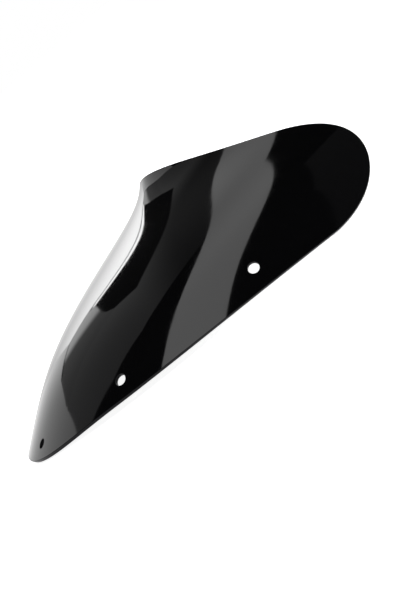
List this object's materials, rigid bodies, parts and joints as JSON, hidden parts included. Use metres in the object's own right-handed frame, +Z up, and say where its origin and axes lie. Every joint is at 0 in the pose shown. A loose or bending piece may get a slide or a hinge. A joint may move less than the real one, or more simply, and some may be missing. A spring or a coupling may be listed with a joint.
{
  "type": "motorcycle windshield screen",
  "caption": "Opaque glossy black motorcycle windshield: a drawn sheet with a low round nose, flat crown, upturned top lip, round rear ears and bare fixing holes along its lower rim.",
  "frame": {"origin": "bottom centre of the sheet's box, on the plane that the nose and the ears rest on", "axes": "+Z up from the resting plane, -Y towards the nose (the front of the motorcycle), +X towards the rider's left"},
  "size_m": [0.439, 0.331, 0.1234],
  "materials": {
    "black_acrylic": "high gloss, polished faces and smooth machined edges"
  },
  "bodies": {
    "root": {"screen_shell": "black_acrylic"}
  },
  "joints": []
}
